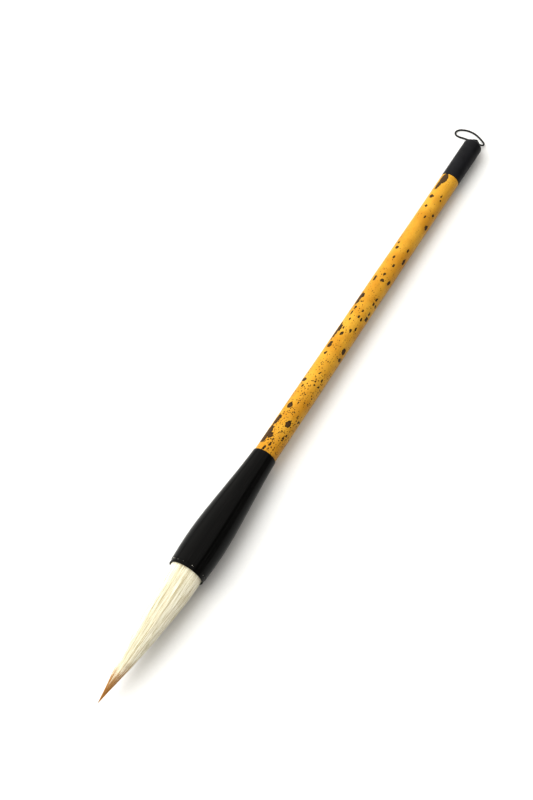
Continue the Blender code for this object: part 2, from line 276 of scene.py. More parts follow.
class HairSettings(bpy.types.PropertyGroup):
    """Sizes and colours of the tuft."""

    cover_count: bpy.props.IntProperty(
        name="Cover hairs",
        description="Strands laid over the outside of the tuft",
        default=1900,
        min=200,
        max=4000,
    )
    core_count: bpy.props.IntProperty(
        name="Core hairs", description="Brown strands that make the point", default=260, min=50, max=1000
    )
    strand_radius: bpy.props.FloatProperty(
        name="Strand radius",
        description="Radius of one strand at its root",
        default=0.000075,
        unit="LENGTH",
    )
    lean: bpy.props.FloatProperty(
        name="Lean of the tip",
        description="How far the tip leans towards +Y",
        default=0.0002,
        unit="LENGTH",
    )
    cover_colour: bpy.props.FloatVectorProperty(
        name="Cover colour",
        description="White goat hair",
        subtype="COLOR",
        default=(0.955, 0.945, 0.865),
    )
    # This second hair colour is both the yellower hairs among the white and painted shade: the hair mixes
    # towards it in the grooves between locks and on the body of hair under the strands.
    cover_yellow_and_painted_shade: bpy.props.FloatVectorProperty(
        name="Cover shade",
        description="Yellower hairs among the white",
        subtype="COLOR",
        default=(0.46, 0.385, 0.19),
    )
    core_colour: bpy.props.FloatVectorProperty(
        name="Core colour",
        description="Brown weasel hair",
        subtype="COLOR",
        default=(0.42, 0.215, 0.055),
    )


class FerruleSettings(bpy.types.PropertyGroup):
    """Sizes and colours of the ferrule."""

    lip_length: bpy.props.FloatProperty(
        name="Lip length", description="From the mouth back to the ledge", default=0.0017, unit="LENGTH"
    )
    edge: bpy.props.FloatProperty(
        name="Edge rounding", description="Rounding of the turned edges", default=0.00014, unit="LENGTH"
    )
    colour: bpy.props.FloatVectorProperty(
        name="Horn colour",
        description="Polished black horn",
        subtype="COLOR",
        default=(0.0022, 0.0022, 0.0021),
    )
    streak_colour: bpy.props.FloatVectorProperty(
        name="Streak colour",
        description="Paler streaks in the horn",
        subtype="COLOR",
        default=(0.0045, 0.0042, 0.0038),
    )
    roughness: bpy.props.FloatProperty(
        name="Roughness",
        description="Roughness of the polish",
        default=0.12,
        subtype="FACTOR",
        min=0,
        max=1,
    )


class BambooSettings(bpy.types.PropertyGroup):
    """Sizes and colours of the handle."""

    waver: bpy.props.FloatProperty(
        name="Waver",
        description="How far the natural surface waves in and out",
        default=0.00005,
        unit="LENGTH",
    )
    golden: bpy.props.FloatVectorProperty(
        name="Golden",
        description="Main colour of the bamboo",
        subtype="COLOR",
        default=(0.56, 0.325, 0.042),
    )
    orange: bpy.props.FloatVectorProperty(
        name="Orange", description="Darker mottling", subtype="COLOR", default=(0.47, 0.235, 0.020)
    )
    mark: bpy.props.FloatVectorProperty(
        name="Mark",
        description="Inside of a growth mark",
        subtype="COLOR",
        default=(0.052, 0.027, 0.012),
    )
    mark_edge: bpy.props.FloatVectorProperty(
        name="Mark edge",
        description="Edge of a growth mark",
        subtype="COLOR",
        default=(0.007, 0.004, 0.002),
    )


class CapSettings(bpy.types.PropertyGroup):
    """Sizes and colours of the end cap."""

    shoulder: bpy.props.FloatProperty(
        name="Shoulder radius", description="Rounding at the widest ring", default=0.0016, unit="LENGTH"
    )
    colour: bpy.props.FloatVectorProperty(
        name="Cap colour",
        description="Satin black horn",
        subtype="COLOR",
        default=(0.0065, 0.0065, 0.0080),
    )
    roughness: bpy.props.FloatProperty(
        name="Roughness",
        description="Roughness of the satin",
        default=0.40,
        subtype="FACTOR",
        min=0,
        max=1,
    )


class LoopSettings(bpy.types.PropertyGroup):
    """Sizes and colours of the hanging loop."""

    cord_diameter: bpy.props.FloatProperty(
        name="Cord diameter", description="Thickness of the twisted cord", default=0.0007, unit="LENGTH"
    )
    neck_radius: bpy.props.FloatProperty(
        name="Neck radius", description="Radius of the served neck", default=0.00072, unit="LENGTH"
    )
    colour: bpy.props.FloatVectorProperty(
        name="Cord colour", description="Black cord", subtype="COLOR", default=(0.007, 0.007, 0.007)
    )


class StageSettings(bpy.types.PropertyGroup):
    """Camera, light and table top."""

    heading: bpy.props.FloatProperty(
        name="Heading",
        description="Camera's heading, from +X towards +Y",
        default=0.5387,
        subtype="ANGLE",
    )
    dip: bpy.props.FloatProperty(
        name="Dip", description="How far the camera looks below level", default=1.072, subtype="ANGLE"
    )
    lens: bpy.props.FloatProperty(
        name="Lens",
        description="Focal length in millimetres for a 36 mm film",
        default=65.25,
        min=10,
        max=200,
    )
    key_power: bpy.props.FloatProperty(
        name="Key lamp", description="Power of the large soft lamp", default=6.6, unit="POWER"
    )
    sky: bpy.props.FloatProperty(
        name="Room light", description="Strength of the light from all round", default=1.62, min=0, max=5
    )
    contrast: bpy.props.FloatProperty(
        name="Contrast",
        description="Gamma of the view, under 1 for deeper blacks",
        default=0.80,
        min=0.5,
        max=1.5,
    )
    table_colour: bpy.props.FloatVectorProperty(
        name="Table colour", description="White table top", subtype="COLOR", default=(0.70, 0.695, 0.685)
    )


# ---------------------------------------------------------------- shader helpers


def add_node(tree, kind, sockets=(), **settings):
    """Adds a node. Settings are its properties, and sockets gives inputs a value or another node's output."""
    node = tree.nodes.new(kind)
    for name, value in settings.items():
        setattr(node, name, value)
    for key, value in dict(sockets).items():
        socket = node.inputs[key]
        if isinstance(value, bpy.types.NodeSocket):
            tree.links.new(value, socket)
        else:
            socket.default_value = (*value, 1.0) if socket.type == "RGBA" and len(value) == 3 else value
    return node


def math_node(tree, operation, first, second=0.0, clamp=False):
    node = add_node(tree, "ShaderNodeMath", {0: first, 1: second}, operation=operation, use_clamp=clamp)
    return node.outputs[0]


def ramp(tree, value, low, high, to_low=0.0, to_high=1.0):
    """Smooth step of a value from low to high."""
    sockets = {"Value": value, "From Min": low, "From Max": high, "To Min": to_low, "To Max": to_high}
    return add_node(tree, "ShaderNodeMapRange", sockets, interpolation_type="SMOOTHSTEP").outputs[0]


def mix_colour(tree, share, first, second):
    node = add_node(tree, "ShaderNodeMix", data_type="RGBA")
    for socket, value in zip((node.inputs[0], node.inputs[6], node.inputs[7]), (share, first, second)):
        if isinstance(value, bpy.types.NodeSocket):
            tree.links.new(value, socket)
        else:
            socket.default_value = value if isinstance(value, float) else (*value, 1.0)
    return node.outputs[2]


def stretched(tree, place, across, along):
    """Place scaled for a texture: across the brush and along it, in features to a millimetre."""
    sockets = {0: place, 1: (across, across, along)}
    return add_node(tree, "ShaderNodeVectorMath", sockets, operation="MULTIPLY").outputs[0]


def new_group(name, inputs, outputs):
    """Shader node group with named float and vector sockets. Returns the group and its two end nodes."""
    group = bpy.data.node_groups.new(name, "ShaderNodeTree")
    for label, kind, default in inputs:
        socket = group.interface.new_socket(name=label, in_out="INPUT", socket_type=kind)
        if default is not None:
            socket.default_value = default
    for label, kind in outputs:
        group.interface.new_socket(name=label, in_out="OUTPUT", socket_type=kind)
    return group, group.nodes.new("NodeGroupInput"), group.nodes.new("NodeGroupOutput")


def grain_group():
    """Long grain: fine lines along the brush and slow clouds over them."""
    if "Long Grain" in bpy.data.node_groups:
        return bpy.data.node_groups["Long Grain"]
    group, given, made = new_group(
        "Long Grain",
        [
            ("Place", "NodeSocketVector", None),
            ("Lines", "NodeSocketFloat", 3.0),
            ("Length", "NodeSocketFloat", 0.06),
            ("Cloud", "NodeSocketFloat", 0.15),
        ],
        [("Lines", "NodeSocketFloat"), ("Clouds", "NodeSocketFloat"), ("Height", "NodeSocketFloat")],
    )
    sockets = {0: given.outputs["Lines"], 1: given.outputs["Lines"], 2: given.outputs["Length"]}
    scale = add_node(group, "ShaderNodeCombineXYZ", sockets)
    sockets = {0: given.outputs["Place"], 1: scale.outputs[0]}
    lined = add_node(group, "ShaderNodeVectorMath", sockets, operation="MULTIPLY")
    sockets = {"Vector": lined.outputs[0], "Scale": 1.0, "Detail": 3.0, "Roughness": 0.6}
    lines = add_node(group, "ShaderNodeTexNoise", sockets)
    sockets = {"Vector": given.outputs["Place"], "Scale": given.outputs["Cloud"], "Detail": 3.0}
    clouds = add_node(group, "ShaderNodeTexNoise", sockets)
    group.links.new(ramp(group, lines.outputs[0], 0.3, 0.7), made.inputs["Lines"])
    group.links.new(ramp(group, clouds.outputs[0], 0.35, 0.65), made.inputs["Clouds"])
    group.links.new(lines.outputs[0], made.inputs["Height"])
    return group


def handling_group():
    """Handling marks: fine rubbed specks and smears that dull a polish here and there."""
    if "Handling Marks" in bpy.data.node_groups:
        return bpy.data.node_groups["Handling Marks"]
    group, given, made = new_group(
        "Handling Marks",
        [
            ("Place", "NodeSocketVector", None),
            ("Polish", "NodeSocketFloat", 0.2),
            ("Dulling", "NodeSocketFloat", 0.1),
        ],
        [("Roughness", "NodeSocketFloat"), ("Height", "NodeSocketFloat")],
    )
    smears = add_node(group, "ShaderNodeTexNoise", {"Vector": given.outputs[0], "Scale": 0.35, "Detail": 4.0})
    specks = add_node(group, "ShaderNodeTexNoise", {"Vector": given.outputs[0], "Scale": 4.0, "Detail": 2.0})
    dull = math_node(group, "MULTIPLY", ramp(group, smears.outputs[0], 0.4, 0.7), given.outputs["Dulling"])
    fine = math_node(group, "MULTIPLY", specks.outputs[0], 0.03)
    total = math_node(group, "ADD", math_node(group, "ADD", given.outputs["Polish"], dull), fine)
    group.links.new(total, made.inputs["Roughness"])
    group.links.new(specks.outputs[0], made.inputs["Height"])
    return group


class Finish:
    """A material being made: its tree, its shader and the place of each point in millimetres."""

    def __init__(self, name, roughness, specular, own_place=True):
        self.material = bpy.data.materials.new(name)
        self.material.use_nodes = True
        self.tree = self.material.node_tree
        self.shader = self.tree.nodes["Principled BSDF"]
        self.shader.inputs["Roughness"].default_value = roughness
        self.shader.inputs["Specular IOR Level"].default_value = specular
        if own_place:
            self.place = add_node(self.tree, "ShaderNodeAttribute", attribute_name="place").outputs["Vector"]
        else:
            spot = add_node(self.tree, "ShaderNodeTexCoord").outputs["Object"]
            sockets = {"Vector": spot, "Rotation": (0.0, -math.pi / 2, 0.0), "Scale": (1 / MM,) * 3}
            self.place = add_node(self.tree, "ShaderNodeMapping", sockets).outputs[0]

    def feed(self, socket, value):
        self.tree.links.new(value, self.shader.inputs[socket])

    def group(self, group, **sockets):
        """Places a node group at the piece's own place, with its other inputs as given."""
        node = add_node(self.tree, "ShaderNodeGroup", node_tree=group)
        self.tree.links.new(self.place, node.inputs["Place"])
        for key, value in sockets.items():
            node.inputs[key.capitalize()].default_value = value
        return node

    def bump(self, height, depth):
        """Bump of a depth in millimetres."""
        sockets = {"Height": height, "Distance": depth * MM, "Strength": 1.0}
        self.feed("Normal", add_node(self.tree, "ShaderNodeBump", sockets).outputs[0])


def hair_finish(name, light, dark, tip):
    """Fine hair: streaks along the strands, and a share of a second colour towards the tip."""
    finish = Finish(name, 0.5, 0.3)
    finish.shader.inputs["Sheen Weight"].default_value = 0.2
    finish.shader.inputs["Sheen Roughness"].default_value = 0.5
    finish.shader.inputs["Sheen Tint"].default_value = (1.0, 0.95, 0.80, 1.0)
    tree = finish.tree
    grain = finish.group(grain_group(), lines=2.2, length=0.035, cloud=0.12)
    # This attribute mixes the hair towards its second colour: partly the hairs' own colour at random, and
    # partly painted shade in the grooves between locks and on the body under the strands.
    tone_and_painted_shade = add_node(tree, "ShaderNodeAttribute", attribute_name="tone_and_painted_shade").outputs["Fac"]
    browning = add_node(tree, "ShaderNodeAttribute", attribute_name="browning").outputs["Fac"]
    streak = math_node(tree, "MULTIPLY", grain.outputs["Lines"], 0.25)
    total = math_node(tree, "ADD", streak, tone_and_painted_shade, clamp=True)
    body = mix_colour(tree, total, light, dark)
    finish.feed("Base Color", mix_colour(tree, browning, body, tip))
    finish.feed("Roughness", ramp(tree, grain.outputs["Lines"], 0.0, 1.0, 0.42, 0.58))
    finish.bump(grain.outputs["Height"], 0.16)
    return finish.material


def horn_finish():
    settings = bpy.context.scene.brush_ferrule
    finish = Finish("polished_horn", settings.roughness, 0.12)
    tree = finish.tree
    grain = finish.group(grain_group(), lines=1.1, length=0.02, cloud=0.05)
    marks = finish.group(handling_group(), polish=settings.roughness, dulling=0.10)
    streaked = mix_colour(tree, grain.outputs["Lines"], settings.colour, settings.streak_colour)
    finish.feed("Base Color", streaked)
    finish.feed("Roughness", marks.outputs["Roughness"])
    finish.bump(grain.outputs["Height"], 0.012)
    return finish.material


def cap_finish():
    settings = bpy.context.scene.brush_cap
    finish = Finish("satin_horn", settings.roughness, 0.15)
    tree = finish.tree
    grain = finish.group(grain_group(), lines=2.0, length=0.05, cloud=0.2)
    marks = finish.group(handling_group(), polish=settings.roughness, dulling=0.12)
    paler = tuple(1.6 * value for value in settings.colour)
    finish.feed("Base Color", mix_colour(tree, grain.outputs["Clouds"], settings.colour, paler))
    finish.feed("Roughness", marks.outputs["Roughness"])
    finish.bump(marks.outputs["Height"], 0.015)
    return finish.material


def speckles(finish, scale, largest, clusters, crowd):
    """Small dark specks of many sizes, kept to clusters. Crowd is how many the place on the handle holds."""
    tree = finish.tree
    drift = add_node(tree, "ShaderNodeTexNoise", {"Vector": finish.place, "Scale": 1.6, "Detail": 2.0})
    sockets = {0: drift.outputs["Color"], 1: (0.5, 0.5, 0.5), 2: finish.place}
    nudged = add_node(tree, "ShaderNodeVectorMath", sockets, operation="MULTIPLY_ADD")
    sockets = {"Vector": stretched(tree, nudged.outputs[0], scale, 0.7 * scale), "Scale": 1.0}
    cells = add_node(tree, "ShaderNodeTexVoronoi", sockets)
    chance = add_node(tree, "ShaderNodeSeparateColor", {0: cells.outputs["Color"]}).outputs[0]
    patch = add_node(tree, "ShaderNodeTexNoise", {"Vector": finish.place, "Scale": 0.17, "Detail": 2.0})
    gathered = math_node(tree, "MULTIPLY", ramp(tree, patch.outputs[0], clusters, clusters + 0.12), crowd)
    chosen = math_node(tree, "MULTIPLY", math_node(tree, "POWER", chance, 1.6), largest)
    reach = math_node(tree, "MULTIPLY", chosen, gathered)
    inside = math_node(tree, "SUBTRACT", reach, cells.outputs["Distance"])
    return ramp(tree, inside, -0.01, 0.07)


def bamboo_finish():
    settings = bpy.context.scene.brush_bamboo
    finish = Finish("spotted_bamboo", 0.36, 0.16)
    tree = finish.tree
    grain = finish.group(grain_group(), lines=3.0, length=0.03, cloud=0.10)
    mottle = mix_colour(tree, grain.outputs["Clouds"], settings.golden, settings.orange)
    fibre = math_node(tree, "MULTIPLY", grain.outputs["Lines"], 0.22)
    ground = mix_colour(tree, fibre, mottle, settings.orange)

    depth = add_node(tree, "ShaderNodeAttribute", attribute_name="mark_depth").outputs["Fac"]
    ragged = add_node(tree, "ShaderNodeTexNoise", {"Vector": finish.place, "Scale": 1.3, "Detail": 3.0})
    wander = math_node(tree, "MULTIPLY", math_node(tree, "SUBTRACT", ragged.outputs[0], 0.5), 1.1)
    edge = math_node(tree, "ADD", depth, wander)
    mark = ramp(tree, edge, -0.03, 0.06)
    rim = math_node(tree, "SUBTRACT", 1.0, ramp(tree, edge, 0.14, 0.46))
    mark_colour = mix_colour(tree, rim, settings.mark, settings.mark_edge)

    crowd = add_node(tree, "ShaderNodeAttribute", attribute_name="crowd").outputs["Fac"]
    fine = speckles(finish, 2.0, 0.50, 0.30, crowd)
    large = speckles(finish, 0.80, 0.34, 0.44, crowd)
    specks = math_node(tree, "MAXIMUM", fine, large)
    spotted = mix_colour(tree, math_node(tree, "MULTIPLY", specks, 0.92), ground, settings.mark_edge)
    finish.feed("Base Color", mix_colour(tree, math_node(tree, "MULTIPLY", mark, 0.96), spotted, mark_colour))
    dull = math_node(tree, "MAXIMUM", mark, specks)
    finish.feed("Roughness", ramp(tree, dull, 0.0, 1.0, 0.34, 0.50))
    sockets = {"Vector": finish.place, "Scale": 1.1, "Detail": 3.0, "Roughness": 0.6}
    pits = math_node(tree, "MULTIPLY", add_node(tree, "ShaderNodeTexNoise", sockets).outputs[0], 2.2)
    pitted = math_node(tree, "ADD", grain.outputs["Height"], pits)
    finish.bump(math_node(tree, "SUBTRACT", pitted, math_node(tree, "MULTIPLY", dull, 0.6)), 0.06)
    return finish.material


def plain_finish(name, first, second, roughness, lines, length, own_place=False):
    """Grained finish in two colours, for cord, thread, wood, glue and rosin."""
    finish = Finish(name, roughness, 0.4, own_place)
    tree = finish.tree
    grain = finish.group(grain_group(), lines=lines, length=length, cloud=0.5)
    finish.feed("Base Color", mix_colour(tree, grain.outputs["Lines"], first, second))
    uneven = ramp(tree, grain.outputs["Clouds"], 0.0, 1.0, roughness - 0.05, roughness + 0.08)
    finish.feed("Roughness", uneven)
    finish.bump(grain.outputs["Height"], 0.02)
    return finish.material


# ---------------------------------------------------------------- mesh helpers


def make_piece(name, points, faces, material, attributes=(), local=True):
    """Object from points in millimetres. Its place attribute keeps the points, so its grain never slides.

    Local points are along the brush's own axes, and others along the row frame's.
    """
    points = np.asarray(points, float)
    mesh = bpy.data.meshes.new(name)
    mesh.from_pydata(points.tolist(), [], [tuple(int(i) for i in face) for face in faces])
    mesh.update()
    bm = bmesh.new()
    bm.from_mesh(mesh)
    bmesh.ops.recalc_face_normals(bm, faces=bm.faces)
    bm.to_mesh(mesh)
    bm.free()
    place = mesh.attributes.new("place", "FLOAT_VECTOR", "POINT")
    place.data.foreach_set("vector", points.astype(np.float32).ravel())
    for label, values in dict(attributes).items():
        layer = mesh.attributes.new(label, "FLOAT", "POINT")
        layer.data.foreach_set("value", np.asarray(values, np.float32))
    mesh.shade_smooth()
    mesh.set_sharp_from_angle(angle=math.radians(45))
    mesh.materials.append(material)
    obj = bpy.data.objects.new(name, mesh)
    bpy.context.scene.collection.objects.link(obj)
    mesh.transform(BRUSH_FRAME if local else Matrix.Scale(MM, 4))
    return obj


def smooth_line(points, per_span):
    """Catmull-Rom curve through points of two or three numbers."""
    route = [Vector((*point, 0.0)) if len(point) == 2 else Vector(point) for point in points]
    size = len(points[0])
    ends = [2 * route[0] - route[1], 2 * route[-1] - route[-2]]
    route = [ends[0], *route, ends[1]]
    curve = []
    for before, start, end, after in zip(route, route[1:], route[2:], route[3:]):
        leave = start + (end - before) / 6
        arrive = end - (after - start) / 6
        curve += interpolate_bezier(start, leave, arrive, end, per_span + 1)[:-1]
    return [tuple(point[:size]) for point in [*curve, route[-2]]]


def rounded(corners):
    """Outline with each (station, radius, reach) corner rounded over its reach, and closed on itself."""
    outline = []
    for index, (station, radius, reach) in enumerate(corners):
        corner = Vector((station, radius))
        if reach <= 0.0:
            outline.append((station, radius))
            continue
        beside = corners[index - 1], corners[(index + 1) % len(corners)]
        sides = [Vector(near[:2]) - corner for near in beside]
        ends = [corner + side.normalized() * min(reach, 0.45 * side.length) for side in sides]
        for step in np.linspace(0.0, 1.0, 5):
            point = ends[0] * (1 - step) ** 2 + corner * 2 * step * (1 - step) + ends[1] * step**2
            outline.append((point.x, point.y))
    return outline


def turn(outline, sides):
    """Points and faces of a turned outline of (station, radius) points in millimetres.

    An outline that starts and ends on the axis is solid, and any other closes on itself as a ring.
    """
    solid = outline[0][1] == 0.0
    rings = outline[1:-1] if solid else outline
    angles = np.arange(sides) * math.tau / sides
    round_one = [(math.cos(angle), math.sin(angle)) for angle in angles]
    points = [(radius * x, radius * y, station) for station, radius in rings for x, y in round_one]
    faces = []
    pairs = list(zip(range(len(rings)), range(1, len(rings))))
    if not solid:
        pairs.append((len(rings) - 1, 0))
    around = [(side, (side + 1) % sides) for side in range(sides)]
    for here, there in pairs:
        low, high = here * sides, there * sides
        faces += [(low + a, low + b, high + b, high + a) for a, b in around]
    if solid:
        last = (len(rings) - 1) * sides
        points += [(0.0, 0.0, outline[0][0]), (0.0, 0.0, outline[-1][0])]
        faces += [(len(points) - 2, b, a) for a, b in around]
        faces += [(len(points) - 1, last + a, last + b) for a, b in around]
    return np.array(points), faces


def sweep(path, sides, radius_of):
    """Points and faces of a tube along a path in millimetres. radius_of takes the angles and a length."""
    path = np.asarray(path, float)
    steps = np.diff(path, axis=0)
    lengths = np.concatenate([[0.0], np.cumsum(np.linalg.norm(steps, axis=1))])
    tangents = np.gradient(path, axis=0)
    tangents /= np.linalg.norm(tangents, axis=1)[:, None]
    across = np.cross(tangents[0], (0.3, 0.2, 0.93))
    angles = np.arange(sides) * math.tau / sides
    points = []
    for centre, tangent, length in zip(path, tangents, lengths):
        across = across - tangent * (across @ tangent)
        across /= np.linalg.norm(across)
        other = np.cross(tangent, across)
        reach = radius_of(angles, length)[:, None]
        points.append(centre + reach * (np.cos(angles)[:, None] * across + np.sin(angles)[:, None] * other))
    count = len(path)
    faces = []
    for ring in range(count - 1):
        low, high = ring * sides, (ring + 1) * sides
        for side in range(sides):
            nearby = (side + 1) % sides
            faces.append((low + side, low + nearby, high + nearby, high + side))
    faces.append(tuple(range(sides))[::-1])
    faces.append(tuple(range((count - 1) * sides, count * sides)))
    return np.concatenate(points), faces


def resample(path, step):
    """Path with a point at every step of its length."""
    path = np.asarray(path, float)
    lengths = np.concatenate([[0.0], np.cumsum(np.linalg.norm(np.diff(path, axis=0), axis=1))])
    marks = np.linspace(0.0, lengths[-1], max(2, round(lengths[-1] / step) + 1))
    return np.stack([np.interp(marks, lengths, path[:, k]) for k in range(3)], axis=1), float(lengths[-1])


def repaint(node, material):
    """Gives a frame node that stays in view its finish."""
    mesh = frame["nodes"][node].data
    mesh.materials.clear()
    mesh.materials.append(material)


# ---------------------------------------------------------------- operators


class CALLIGRAPHY_OT_stage(bpy.types.Operator):
    """Set up the camera, the soft lamp, the light of the room and the table top"""

    bl_idname = "calligraphy.stage"
    bl_label = "Stage"

    def execute(self, context):
        settings = context.scene.brush_stage
        level = math.cos(settings.dip)
        east, north = level * math.cos(settings.heading), level * math.sin(settings.heading)
        forward = Vector((east, north, -math.sin(settings.dip)))
        data = bpy.data.cameras.new("view")
        data.lens = settings.lens
        data.sensor_width = 36.0
        data.clip_start = 0.01
        camera = bpy.data.objects.new("view", data)
        camera.location = CAMERA_AT
        camera.rotation_euler = forward.to_track_quat("-Z", "Y").to_euler()
        context.scene.collection.objects.link(camera)
        context.scene.camera = camera
        context.scene.view_settings.view_transform = "Standard"
        context.scene.view_settings.gamma = settings.contrast

        self.make_lamp(context, settings.key_power)
        self.make_room(context, settings.sky)

        mesh = bpy.data.meshes.new("table_top")
        reach = 3.0
        corners = [(-reach, -reach, 0.0), (reach, -reach, 0.0), (reach, reach, 0.0), (-reach, reach, 0.0)]
        mesh.from_pydata(corners, [], [(0, 1, 2, 3)])
        finish = Finish("table_paper", 0.6, 0.2, own_place=False)
        grain = finish.group(grain_group(), lines=0.8, length=0.8, cloud=0.02)
        shade = tuple(0.985 * value for value in settings.table_colour)
        mottled = mix_colour(finish.tree, grain.outputs["Lines"], settings.table_colour, shade)
        finish.feed("Base Color", mottled)
        mesh.materials.append(finish.material)
        table = bpy.data.objects.new("table_top", mesh)
        context.scene.collection.objects.link(table)
        return {"FINISHED"}

    def make_lamp(self, context, power):
        """Large round lamp high on the +Y side, which the polish doesn't mirror."""
        place = (-0.12, 0.42, 0.78)
        data = bpy.data.lights.new("key_lamp", "AREA")
        data.shape = "DISK"
        data.size = 0.85
        data.energy = power
        data.color = (0.93, 0.97, 1.0)
        lamp = bpy.data.objects.new("key_lamp", data)
        lamp.location = place
        lamp.rotation_euler = (-Vector(place)).to_track_quat("-Z", "Y").to_euler()
        lamp.visible_glossy = False
        context.scene.collection.objects.link(lamp)

    def make_room(self, context, strength):
        """White ceiling over the table, and a dark wall low on the -Y side with two bars of light on it.

        The angle runs round +X from straight up, positive to the window side at +Y. The camera itself sees
        a plain pale backdrop.
        """
        # Angles in degrees between which the light changes, and its share before and after them: at the
        # top of the wall, across the window side, and at the window's foot.
        changes = ((-44, -34, 0.10, 1.0), (-20, 75, 0.85, 1.25), (68, 92, 1.0, 0.30))
        # The bars' angles and half widths in degrees, and how much light they add.
        bars = ((-62, 2.0), (-77, 1.5))
        bar_light = 1.4
        backdrop = 0.92
        world = bpy.data.worlds.new("room")
        world.use_nodes = True
        tree = world.node_tree
        background = tree.nodes["Background"]
        direction = add_node(tree, "ShaderNodeTexCoord").outputs["Generated"]
        along = add_node(tree, "ShaderNodeSeparateXYZ", {0: direction})
        angle = math_node(tree, "ARCTAN2", along.outputs["Y"], along.outputs["Z"])
        level = 1.0
        for low, high, before, after in changes:
            share = ramp(tree, angle, math.radians(low), math.radians(high), before, after)
            level = math_node(tree, "MULTIPLY", level, share)
        for bar, width in bars:
            near = math_node(tree, "ABSOLUTE", math_node(tree, "SUBTRACT", angle, math.radians(bar)))
            level = math_node(tree, "ADD", level, ramp(tree, near, math.radians(width), 0.0, 0.0, bar_light))
        lit = math_node(tree, "MULTIPLY", level, strength)
        seen = add_node(tree, "ShaderNodeLightPath").outputs["Is Camera Ray"]
        plain = add_node(tree, "ShaderNodeMix", {0: seen, 2: lit, 3: backdrop}, data_type="FLOAT").outputs[0]
        tree.links.new(plain, background.inputs["Strength"])
        background.inputs["Color"].default_value = (1.0, 0.98, 0.945, 1.0)
        context.scene.world = world


class CALLIGRAPHY_OT_hanging_loop(bpy.types.Operator):
    """Build the served neck, the knot and the twisted cord of the hanging loop"""

    bl_idname = "calligraphy.hanging_loop"
    bl_label = "Hanging loop"

    def execute(self, context):
        settings = context.scene.brush_loop
        shade = tuple(2.2 * value for value in settings.colour)
        cord = plain_finish("black_cord", settings.colour, shade, 0.62, 6.0, 6.0, own_place=True)
        radius = settings.cord_diameter / 2 / MM
        knot = np.array(JOINT_AT["eye_turn"]) / MM

        route = [(0.0, -0.45, 0.0), *EYE_ROUTE, (0.0, 0.45, 0.0)]
        path, length = resample(np.array(smooth_line(route, 8)) + knot, 0.12)
        lay_length = 2.0

        def twisted(angles, along):
            """Three strands, laid round one another once in each lay length."""
            return radius * (0.88 + 0.12 * np.abs(np.cos(1.5 * (angles - math.tau / lay_length * along))))

        points, faces = sweep(path, 18, twisted)
        eye = make_piece("loop_cord", points, faces, cord, local=False)
        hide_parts("hanging_loop")
        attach(eye, "loop_eye")

        overhand = self.make_knot(cord, knot)
        neck = self.make_neck(cord, knot, settings.neck_radius / MM)
        for node in ("stopper_knot", "cord_tail"):
            repaint(node, plain_finish(f"{node}_cord", settings.colour, shade, 0.62, 6.0, 6.0))
        return {"FINISHED"}

    def make_knot(self, cord, knot):
        """Overhand knot pulled tight: one strand that passes through its own turn."""
        turns = np.linspace(0.0, math.tau, 120)
        ring = 0.36 + 0.22 * np.cos(3 * turns)
        sway = 0.22 * np.sin(3 * turns)
        path = np.stack([sway, ring * np.cos(2 * turns), ring * np.sin(2 * turns)], axis=1)

        def strand(angles, along):
            return 0.30 * (0.92 + 0.08 * np.abs(np.cos(1.5 * (angles - 4.0 * along))))

        points, faces = sweep(path + knot, 16, strand)
        obj = make_piece("loop_knot", points, faces, cord, local=False)
        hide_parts("eye_knot")
        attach(obj, "loop_eye")
        return obj

    def make_neck(self, cord, knot, radius):
        """Neck wound round with thread, from the hole in the boss down to the knot."""
        hinge = JOINT_AT["loop_lift"] / MM
        start = (MOUTH + AXIS * (CAP_SPAN[1] + 0.02) * MM) / MM
        fall = (Vector(knot) - hinge).normalized()
        end = Vector(knot) - fall * 0.45
        path, _ = resample(interpolate_bezier(start, start + AXIS * 1.15, end - fall * 1.7, end, 60), 0.04)

        def served(angles, along):
            return radius * (0.90 + 0.10 * np.abs(np.sin(math.pi * along / 0.34 + angles / 2)))

        points, faces = sweep(path, 24, served)
        obj = make_piece("loop_neck_serving", points, faces, cord, local=False)
        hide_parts("neck_serving")
        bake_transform(obj)
        return obj


class CALLIGRAPHY_OT_end_cap(bpy.types.Operator):
    """Turn the satin end cap with its spigot, shoulder and boss"""

    bl_idname = "calligraphy.end_cap"
    bl_label = "End cap"

    def execute(self, context):
        settings = context.scene.brush_cap
        spigot, bore, bore_depth, cord_hole = 2.48, 1.79, 16.0, 1.0
        boss, boss_length = 1.99, 1.5
        front = BAMBOO_SPAN[1] + GAP
        seat = BAMBOO_SPAN[1] + 0.30
        spigot_end, boss_end = CAP_SPAN
        face = boss_end - boss_length
        shoulder = settings.shoulder / MM
        widest = face - shoulder
        wall = dict(outer_line("end_cap", seat, widest + 0.02))
        front_radius = wall[min(wall)]
        radius = max(wall.values())
        centre = radius - shoulder
        gain = radius - front_radius
        steps = zip(np.linspace(front + 0.5, widest - 0.5, 12), np.linspace(0.02, 0.98, 12))
        swell = [(station, front_radius + gain * share**0.85, 0.0) for station, share in steps]
        arc = [
            (widest + shoulder * math.sin(angle), centre + shoulder * math.cos(angle), 0.0)
            for angle in np.linspace(0.0, math.pi / 2, 9)
        ]
        corners = [
            (spigot_end, bore, 0.1),
            (spigot_end, spigot, 0.25),
            (front, spigot, 0.0),
            (front, front_radius, 0.16),
            *swell,
            *arc,
            (face, boss, 0.12),
            (boss_end, boss, 0.38),
            (boss_end, cord_hole, 0.22),
            (spigot_end + bore_depth, cord_hole, 0.0),
            (spigot_end + bore_depth, bore, 0.1),
        ]
        points, faces = turn(rounded(corners), 128)
        obj = make_piece("end_cap_turned", points, faces, cap_finish())
        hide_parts("end_cap")
        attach(obj, "brush")
        return {"FINISHED"}


